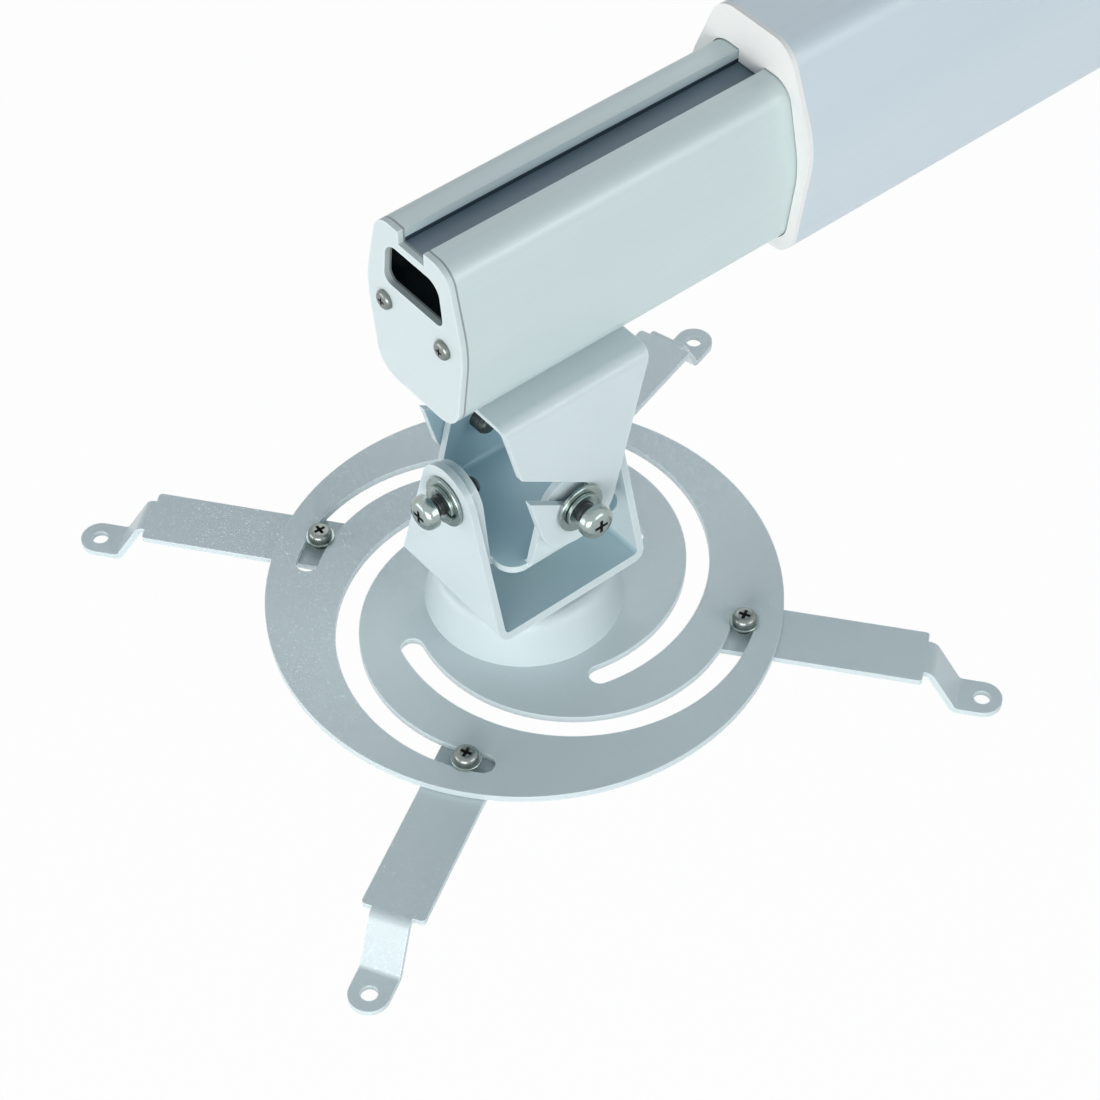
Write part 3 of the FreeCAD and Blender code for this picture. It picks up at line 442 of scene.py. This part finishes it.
def platedSteel(name, spec):
    make = Finish(name)
    cloud = make.grain(*spec["cloud"])
    fine = make.grain(*spec["fine"])
    stain = make.ramp(make.grain(*spec["stain"]), *spec["stainBounds"])
    clouded = make.toned(cloud, spec["colour"], spec["cloudShades"])
    return make.done({
        "Base Color": make.blend(stain * spec["stainShare"], clouded, spec["stainColour"]),
        "Roughness": make.vary(spec["roughness"], (cloud, fine, stain), spec["roughAmounts"]),
        "Metallic": spec["metal"],
        "Normal": make.relief(fine, *spec["relief"]),
    })


# painted shade in the driver recesses, and a darker, duller steel on the threads
recessShade = {
    "dark": tint(34, 40, 38),
    "pale": tint(66, 72, 68),
    "fine": (3000, 3),
    "broad": (300, 2),
    "paleShares": (0.5, 0.5),
    "roughness": 0.5,
    "roughAmounts": (0.2,),
    "metal": 0.4,
}
# threads and shanks get a darker, duller steel than the heads
threadShade = dict(
    recessShade, dark=tint(70, 78, 78), pale=tint(112, 120, 118), roughness=0.32, metal=0.8)


def dullSteel(name, spec):
    make = Finish(name)
    fine = make.grain(*spec["fine"])
    broad = make.grain(*spec["broad"])
    paleness = make.vary(0, (fine, broad), spec["paleShares"])
    return make.done({
        "Base Color": make.blend(paleness, spec["dark"], spec["pale"]),
        "Roughness": make.vary(spec["roughness"], (fine,), spec["roughAmounts"]),
        "Metallic": spec["metal"],
    })


finishes = {
    "painted_steel": paintedSteel("silverPowderCoat", steelPaint),
    "anodised_tube": anodisedTube("satinAnodised", tubeSkin),
    "cream_plastic": mouldedPlastic("creamMoulding", collarPlastic),
    "nylon": mouldedPlastic("nylonRing", washerPlastic),
    "plated_steel": platedSteel("zincPlate", screwPlate),
}
# the gimbal's nested sheets and the yoke take paint with painted shade on their inner faces
nestedShadedFinish = paintedSteel("nestedPowderCoatPaintedShade", nestedShadedPaint)
nodeFinishes = {
    "outer_tube": anodisedTube("sleeveAnodised", sleeveSkin),
    "end_plate": cappedEnd("satinEndCap", endCapSkin),
    "upper_bracket": nestedShadedFinish,
    "gimbal_tray": nestedShadedFinish,
    "lower_yoke": paintedSteel("yokePowderCoatPaintedShade", yokeShadedPaint),
}
darkPlateFinish = platedSteel("darkZincPlate", darkPlate)
recessShadeFinish = dullSteel("recessPaintedShade", recessShade)
threadFinish = dullSteel("darkerThread", threadShade)
print("finishes made")


# every CAD node takes the finish of its record slot, or its own
for part in frame["record"]["subparts"]:
    shown = frame["nodes"][part["node"]]
    shown.data.materials.clear()
    shown.data.materials.append(nodeFinishes.get(part["node"], finishes[part["material_slot"]]))
print("nodes dressed")


weldGap = 0.002 * mm


# turns an outline about the local Z axis; a rise makes it a helix with capped ends
def ring(loop, steps, closed=False, turns=1, rise=0.0):
    bm = bmesh.new()
    verts = [bm.verts.new((radius, 0, height)) for radius, height in loop]
    pairs = list(zip(verts, verts[1:]))
    if closed:
        pairs.append((verts[-1], verts[0]))
    edges = [bm.edges.new(pair) for pair in pairs]
    full = turns == 1 and rise == 0
    swept = bmesh.ops.spin(
        bm, geom=verts + edges, cent=(0, 0, 0), axis=(0, 0, 1), dvec=(0, 0, rise / steps),
        angle=2 * math.pi * turns, steps=steps, use_merge=full, use_duplicate=False)
    if not full:
        last = [item for item in swept["geom_last"] if isinstance(item, bmesh.types.BMEdge)]
        bmesh.ops.contextual_create(bm, geom=edges)
        bmesh.ops.contextual_create(bm, geom=last)
    return bm


def closeUp(bm):
    bmesh.ops.remove_doubles(bm, verts=bm.verts, dist=weldGap)
    bmesh.ops.recalc_face_normals(bm, faces=bm.faces)
    return bm


def toObject(bm, name):
    mesh = bpy.data.meshes.new(name)
    bm.to_mesh(mesh)
    bm.free()
    made = bpy.data.objects.new(name, mesh)
    bpy.context.collection.objects.link(made)
    return made


# the second shape cuts or trims the first, and the result goes on as a bmesh
def combine(first, second, operation):
    base = toObject(first, "baseShape")
    tool = toObject(second, "toolShape")
    change = base.modifiers.new("combine", "BOOLEAN")
    change.operation = operation
    change.object = tool
    change.solver = "EXACT"
    change.use_self = True
    bpy.context.view_layer.update()
    cooked = base.evaluated_get(bpy.context.evaluated_depsgraph_get())
    bm = bmesh.new()
    bm.from_mesh(cooked.data)
    for shape in (base, tool):
        data = shape.data
        bpy.data.objects.remove(shape)
        bpy.data.meshes.remove(data)
    return closeUp(bm)


def addTo(bm, other, matrix=None):
    if matrix is not None:
        bmesh.ops.transform(other, matrix=matrix, verts=other.verts)
    mesh = bpy.data.meshes.new("carry")
    other.to_mesh(mesh)
    other.free()
    bm.from_mesh(mesh)
    bpy.data.meshes.remove(mesh)


# shares of the pitch, apart from the steps of one turn
threadShape = {
    "depth": 0.5, "flank": 0.44, "crest": 0.07, "tip": 0.6, "fewest": 3, "sink": 0.08, "runOut": 0.2,
    "turnSteps": 20,
}
crestGap = 0.03 * mm
recessShadeIndex = 1
threadIndex = 2


def thread(bm, core, crest, pitch, start, stop):
    turns = int((stop - start) / pitch)
    half = pitch * threadShape["flank"]
    flat = pitch * threadShape["crest"]
    loop = [(core, -half), (crest, -flat), (crest, flat), (core, half)]
    ridge = ring(loop, turns * threadShape["turnSteps"], True, turns, pitch * turns)
    bmesh.ops.translate(ridge, vec=(0, 0, start + half), verts=ridge.verts)
    closeUp(ridge)
    addTo(bm, ridge)


crossTaper = (0.42, 0.62, 1)


def crossCutter(top, reach, width, depth):
    bm = bmesh.new()
    for turn in (0, math.pi / 2):
        wing = bmesh.ops.create_cube(bm, size=1)["verts"]
        bmesh.ops.scale(bm, vec=(reach * 2, width, depth * 2), verts=wing)
        lower = [vert for vert in wing if vert.co.z < 0]
        bmesh.ops.scale(bm, vec=crossTaper, verts=lower)
        spin = Matrix.Rotation(turn, 4, "Z")
        bmesh.ops.transform(bm, matrix=Matrix.Translation((0, 0, top)) @ spin, verts=wing)
    return bm


# shares of the head's radius and height, and how its recess is told from its dome
headShape = {
    "seat": 0.97, "foot": 0.05, "edge": 0.34, "crown": 0.58, "flat": 0.5, "domeSteps": 7, "steps": 48,
    "recessTop": 0.995, "recessDeep": 0.7, "recessSteep": 0.6,
}


# the head's seat is at zero, with the head above it and the shank below
def crossScrew(spec):
    radius = spec["radius"] * mm
    length = spec["length"] * mm
    head = spec["headRadius"] * mm
    height = spec["headHeight"] * mm
    pitch = spec["pitch"] * mm
    core = radius - pitch * threadShape["depth"]
    tip = pitch * threadShape["tip"]
    edge = height * headShape["edge"]
    crown = headShape["crown"]
    outline = [(0, -length), (core - tip, -length), (core, tip - length), (core, 0),
               (head * headShape["seat"], 0), (head, height * headShape["foot"]), (head, edge)]
    for step in range(1, headShape["domeSteps"]):
        angle = math.pi / 2 * step / headShape["domeSteps"]
        outline.append((head * (crown + (1 - crown) * math.cos(angle)),
                        edge + (height - edge) * math.sin(angle)))
    outline += [(head * headShape["flat"], height), (0, height)]
    reach = head * spec["recessReach"]
    recess = crossCutter(height, reach, head * spec["recessWidth"], height * spec["recessDepth"])
    bm = combine(closeUp(ring(outline, headShape["steps"])), recess, "DIFFERENCE")
    # the driver recess's faces take the painted shade
    for face in bm.faces:
        spot = face.calc_center_median()
        near = math.hypot(spot.x, spot.y) < reach
        below = 0 < spot.z < height * headShape["recessTop"]
        steep = face.normal.z < headShape["recessSteep"]
        if near and below and (steep or spot.z < height * headShape["recessDeep"]):
            face.material_index = recessShadeIndex
    if length > pitch * threadShape["fewest"]:
        thread(bm, core - pitch * threadShape["sink"], radius - crestGap, pitch, tip - length, -pitch)
    for face in bm.faces:
        if face.calc_center_median().z < -pitch * threadShape["runOut"]:
            face.material_index = threadIndex
    return bm


ringShape = {
    "lip": 0.16, "steps": 56, "splitTurn": 0.965, "splitSteps": 54,
    "splitBevel": 0.12 * mm, "splitSegments": 2, "splitSharp": 1,
}


def plainRing(inner, outer, thick):
    lip = thick * ringShape["lip"]
    loop = [(inner, lip), (inner + lip, 0), (outer - lip, 0), (outer, lip), (outer, thick - lip),
            (outer - lip, thick), (inner + lip, thick), (inner, thick - lip)]
    return closeUp(ring([(r * mm, z * mm) for r, z in loop], ringShape["steps"], True))


def splitRing(inner, outer, thick, lift):
    wall = thick - lift
    loop = [(inner, 0), (outer, 0), (outer, wall), (inner, wall)]
    bm = closeUp(ring([(r * mm, z * mm) for r, z in loop], ringShape["splitSteps"], True,
                      ringShape["splitTurn"], lift * mm))
    sharp = [edge for edge in bm.edges if edge.calc_face_angle(0) > ringShape["splitSharp"]]
    bmesh.ops.bevel(bm, geom=sharp, offset=ringShape["splitBevel"], affect="EDGES",
                    segments=ringShape["splitSegments"], profile=0.5, material=-1)
    return bm


hexShape = {
    "rim": 0.98, "past": 1.01, "slope": 0.58, "steps": 60,
    "lead": 0.6, "boreDepth": 0.6, "borePast": 1, "boreSteps": 40,
    "shankSink": 0.5 * mm, "threadSink": 0.08 * mm, "shankSteps": 36, "shankStart": 1.02,
}


def hexBlock(flats, height):
    corner = flats / math.sqrt(3) * mm
    rim = flats / 2 * mm
    top = height * mm
    bm = bmesh.new()
    bmesh.ops.create_cone(bm, cap_ends=True, segments=6, radius1=corner, radius2=corner, depth=top)
    turn = Matrix.Rotation(math.pi / 6, 3, "Z")
    bmesh.ops.rotate(bm, cent=(0, 0, 0), matrix=turn, verts=bm.verts)
    bmesh.ops.translate(bm, vec=(0, 0, top / 2), verts=bm.verts)
    slope = (corner - rim) * hexShape["slope"]
    inner = rim * hexShape["rim"]
    outer = corner * hexShape["past"]
    outline = [(0, 0), (inner, 0), (outer, slope), (outer, top - slope), (inner, top), (0, top)]
    return combine(bm, closeUp(ring(outline, hexShape["steps"])), "INTERSECT")


def hexNut(spec):
    height = spec["height"]
    lead = spec["pitch"] * hexShape["lead"]
    mouth = spec["bore"] + lead
    inner = spec["bore"] - lead * hexShape["boreDepth"]
    past = hexShape["borePast"]
    outline = [(0, -past), (mouth, -past), (mouth, 0), (inner, lead), (inner, height - lead),
               (mouth, height), (mouth, height + past), (0, height + past)]
    hole = closeUp(ring([(r * mm, z * mm) for r, z in outline], hexShape["boreSteps"]))
    return combine(hexBlock(spec["flats"], height), hole, "DIFFERENCE")


# the head stands on zero, with the shank above it
def hexBolt(spec):
    bm = hexBlock(spec["flats"], spec["headHeight"])
    seat = spec["headHeight"] * mm
    pitch = spec["pitch"] * mm
    radius = spec["radius"] * mm
    core = radius - pitch * threadShape["depth"]
    top = seat + spec["length"] * mm
    tip = pitch * threadShape["tip"]
    start = hexShape["shankSink"]
    outline = [(0, start), (core, start), (core, top - tip), (core - tip, top), (0, top)]
    addTo(bm, closeUp(ring(outline, hexShape["shankSteps"])))
    thread(bm, core - hexShape["threadSink"], radius - crestGap, pitch, seat, top - tip)
    for face in bm.faces:
        if face.calc_center_median().z > seat * hexShape["shankStart"]:
            face.material_index = threadIndex
    return bm


def towards(direction, spot):
    turn = Vector((0, 0, 1)).rotation_difference(Vector(direction)).to_matrix().to_4x4()
    return Matrix.Translation(spot) @ turn


fastenerSlot = "plated_steel"
smoothAngle = math.radians(34)


# joins finished shapes into one shown piece that stands for a CAD node
def fit(name, shapes, body, node, mainFinish=finishes[fastenerSlot]):
    whole = bmesh.new()
    for shape, matrix in shapes:
        addTo(whole, shape, matrix)
    for face in whole.faces:
        face.smooth = True
    for edge in whole.edges:
        edge.smooth = edge.calc_face_angle(math.pi) < smoothAngle
    piece = toObject(whole, name)
    piece.data.materials.append(mainFinish)
    if any(face.material_index for face in piece.data.polygons):
        piece.data.materials.append(recessShadeFinish)
        piece.data.materials.append(threadFinish)
    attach(piece, body)
    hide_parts(node)


tiltScrew = {
    "radius": 4.0, "length": 21.3, "headRadius": 6.8, "headHeight": 5.2, "pitch": 1.25,
    "recessReach": 0.62, "recessWidth": 0.26, "recessDepth": 0.52,
}
rollScrew = dict(tiltScrew, length=21.1)
pivotRings = {
    "bore": 4.1, "plainRadius": 10.0, "plain": 1.6, "springRadius": 7.4, "spring": 2.0, "lift": 0.45,
}


def pivotFasteners(axis, screwSpec, direction):
    along = Vector(direction)
    centre = middle(f"{axis}_screws")
    headTop = (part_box(f"{axis}_screws")[1] - centre).dot(along)
    ringTop = (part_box(f"{axis}_washers")[1] - centre).dot(along)
    screwSeat = headTop - screwSpec["headHeight"] * mm
    springSeat = ringTop - pivotRings["spring"] * mm
    plainSeat = springSeat - pivotRings["plain"] * mm
    screws = []
    rings = []
    for side in (-1, 1):
        out = along * side
        plain = plainRing(pivotRings["bore"], pivotRings["plainRadius"], pivotRings["plain"])
        spring = splitRing(pivotRings["bore"], pivotRings["springRadius"], pivotRings["spring"],
                           pivotRings["lift"])
        screws.append((crossScrew(screwSpec), towards(out, centre + out * screwSeat)))
        rings.append((plain, towards(out, centre + out * plainSeat)))
        rings.append((spring, towards(out, centre + out * springSeat)))
    fit(f"{axis}CrossScrews", screws, "tray", f"{axis}_screws")
    fit(f"{axis}Rings", rings, "tray", f"{axis}_washers")


pivotFasteners("tilt", tiltScrew, (1, 0, 0))
pivotFasteners("roll", rollScrew, (0, 1, 0))
print("gimbal fasteners made")


endScrew = {
    "radius": 1.9, "length": 15.0, "headRadius": 3.75, "headHeight": 2.2, "pitch": 1.2,
    "recessReach": 0.6, "recessWidth": 0.27, "recessDepth": 0.6,
}
bodyScrew = {
    "radius": 3.0, "length": 5.7, "headRadius": 5.0, "headHeight": 3.0, "pitch": 1.0,
    "recessReach": 0.6, "recessWidth": 0.25, "recessDepth": 0.6,
}
lockScrew = dict(bodyScrew, length=3.9)


def endPlateFasteners():
    low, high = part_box("end_plate_screws")
    seat = low.y + endScrew["headHeight"] * mm
    height = (low.z + high.z) / 2
    across = high.x - endScrew["headRadius"] * mm
    screws = [(crossScrew(endScrew), towards((0, -1, 0), (side * across, seat, height)))
              for side in (-1, 1)]
    fit("endPlateCrossScrews", screws, "boom", "end_plate_screws", darkPlateFinish)


def tubeFasteners():
    spot = middle("tube_screws")
    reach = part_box("tube_screws")[1].z - bodyScrew["headHeight"] * mm
    screws = [(crossScrew(bodyScrew), towards((0, 0, side), (spot.x, spot.y, side * reach)))
              for side in (-1, 1)]
    fit("tubeCrossScrews", screws, "wall", "tube_screws")
    spot = middle("boom_lock_screw")
    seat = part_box("boom_lock_screw")[0].z + lockScrew["headHeight"] * mm
    lock = (crossScrew(lockScrew), towards((0, 0, -1), (spot.x, spot.y, seat)))
    fit("boomLockCrossScrew", [lock], "wall", "boom_lock_screw")


endPlateFasteners()
tubeFasteners()
print("tube fasteners made")


bracketBolt = {"radius": 4.0, "length": 11.65, "flats": 13.0, "headHeight": 5.3, "pitch": 1.25}
swivelBolt = {"radius": 5.0, "length": 36.5, "flats": 17.0, "headHeight": 6.0, "pitch": 1.5}
swivelNut = {"flats": 17.0, "height": 7.0, "bore": 5.0, "pitch": 1.5}


def hexFasteners():
    low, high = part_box("bracket_bolts")
    spot = middle("bracket_bolts")
    half = (high.y - low.y - bracketBolt["flats"] * mm) / 2
    bolts = [(hexBolt(bracketBolt), Matrix.Translation((spot.x, spot.y + side * half, low.z)))
             for side in (-1, 1)]
    # the bracket bolts take the dark thread steel all over, as painted shade under the bracket's web
    fit("bracketHexBolts", bolts, "boom", "bracket_bolts", threadFinish)
    spot = middle("swivel_bolt")
    boltFoot = Matrix.Translation((spot.x, spot.y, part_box("swivel_bolt")[0].z))
    fit("swivelHexBolt", [(hexBolt(swivelBolt), boltFoot)], "spider", "swivel_bolt")
    nutFoot = Matrix.Translation((spot.x, spot.y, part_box("swivel_nut")[0].z))
    fit("swivelHexNut", [(hexNut(swivelNut), nutFoot)], "spider", "swivel_nut")


hexFasteners()
print("hex fasteners made")


armBolt = {
    "radius": 3.0, "length": 14.4, "headRadius": 4.7, "headHeight": 3.4, "pitch": 1.0,
    "recessReach": 0.70, "recessWidth": 0.34, "recessDepth": 0.58,
}
armRing = {"bore": 3.1, "radius": 5.7, "thick": 1.0}
armNut = {"flats": 10.0, "height": 5.0, "bore": 3.0, "pitch": 1.0}
armCount = 4
armTurn = 0.5


def armFasteners(number):
    carrier = f"carrier_{number}"
    spot = middle(f"arm_bolt_{number}")
    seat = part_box(f"arm_bolt_{number}")[1].z - armBolt["headHeight"] * mm
    turn = Matrix.Rotation(armTurn * number, 4, "Z")
    boltSeat = Matrix.Translation((spot.x, spot.y, seat)) @ turn
    fit(f"armCrossBolt_{number}", [(crossScrew(armBolt), boltSeat)], carrier, f"arm_bolt_{number}",
        darkPlateFinish)
    washer = plainRing(armRing["bore"], armRing["radius"], armRing["thick"])
    washerFoot = Matrix.Translation((spot.x, spot.y, seat - armRing["thick"] * mm))
    fit(f"armRing_{number}", [(washer, washerFoot)], carrier, f"arm_washer_{number}")
    nutFoot = Matrix.Translation((spot.x, spot.y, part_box(f"arm_nut_{number}")[0].z)) @ turn
    fit(f"armHexNut_{number}", [(hexNut(armNut), nutFoot)], carrier, f"arm_nut_{number}")


for number in range(1, armCount + 1):
    armFasteners(number)
print("arm fasteners made")


stageSpec = {
    "floorDrop": 0.42, "floorSize": 12.0, "floorMiddle": (0, -0.3), "floorWhite": 0.97,
    "floorColour": tint(244, 245, 245), "white": (1, 1, 1, 1), "whiteLevel": 1.0,
}
worldSpec = {"colour": (0.74, 0.89, 1.0, 1), "level": 0.265}
lampAim = Vector((0.0, -0.42, -0.10))
lampSpecs = {
    "frontSoftbox": {"direction": (0.55, -0.80, 0.15), "distance": 3.0, "width": 2.4, "height": 1.4,
                     "power": 55, "colour": (1.0, 1.0, 0.99)},
    "rightSoftbox": {"direction": (1.0, 0.30, 0.42), "distance": 3.0, "width": 2.0, "height": 1.4,
                     "power": 24, "colour": (1.0, 1.0, 0.99)},
    "leftSoftbox": {"direction": (-0.50, -0.90, 0.10), "distance": 3.0, "width": 2.0, "height": 1.4,
                    "power": 22, "colour": (1.0, 1.0, 1.0)},
    "backFill": {"direction": (-0.60, 0.55, 0.75), "distance": 1.1, "width": 0.9, "height": 0.9,
                 "power": 2.0, "colour": (0.96, 0.98, 1.0)},
}


# rays that look straight, in gloss or through glass see a white surround
def lookRays(tree):
    camera = tree.node("ShaderNodeLightPath", {}, {}, "Is Camera Ray")
    glossy = tree.node("ShaderNodeLightPath", {}, {}, "Is Glossy Ray")
    through = tree.node("ShaderNodeLightPath", {}, {}, "Is Transmission Ray")
    return camera.maths("MAXIMUM", camera.maths("MAXIMUM", camera, glossy), through)


def makeFloor(spec):
    bm = bmesh.new()
    bmesh.ops.create_grid(bm, x_segments=1, y_segments=1, size=spec["floorSize"] / 2)
    drop = cadBox[0][2] - spec["floorDrop"]
    bmesh.ops.translate(bm, vec=(*spec["floorMiddle"], drop), verts=bm.verts)
    floor = toObject(bm, "paleFloor")
    paint = bpy.data.materials.new("paleFloor")
    floor.data.materials.append(paint)
    make = Tree(paint)
    matt = make.node("ShaderNodeBsdfDiffuse", {}, {"Color": spec["floorColour"]})
    glow = make.node("ShaderNodeEmission", {}, {"Color": spec["white"], "Strength": spec["whiteLevel"]})
    seen = lookRays(make) * spec["floorWhite"]
    mixed = make.node("ShaderNodeMixShader", {}, {0: seen, 1: matt, 2: glow})
    make.node("ShaderNodeOutputMaterial", {}, {"Surface": mixed})


def makeWorld(spec):
    world = bpy.data.worlds.new("studioWorld")
    bpy.context.scene.world = world
    make = Tree(world)
    dim = make.node("ShaderNodeBackground", {}, {"Color": spec["colour"], "Strength": spec["level"]})
    white = make.node("ShaderNodeBackground", {}, {
        "Color": stageSpec["white"], "Strength": stageSpec["whiteLevel"]})
    mixed = make.node("ShaderNodeMixShader", {}, {0: lookRays(make), 1: dim, 2: white})
    make.node("ShaderNodeOutputWorld", {}, {"Surface": mixed})


def makeLamp(name, spec):
    data = bpy.data.lights.new(name, "AREA")
    data.shape = "RECTANGLE"
    data.size = spec["width"]
    data.size_y = spec["height"]
    data.energy = spec["power"]
    data.color = spec["colour"]
    lamp = bpy.data.objects.new(name, data)
    bpy.context.collection.objects.link(lamp)
    direction = Vector(spec["direction"]).normalized()
    turn = direction.to_track_quat("Z", "Y").to_matrix().to_4x4()
    lamp.matrix_world = Matrix.Translation(lampAim + direction * spec["distance"]) @ turn


makeFloor(stageSpec)
makeWorld(worldSpec)
for lampName, lampSpec in lampSpecs.items():
    makeLamp(lampName, lampSpec)
print("stage set")

bpy.context.view_layer.update()
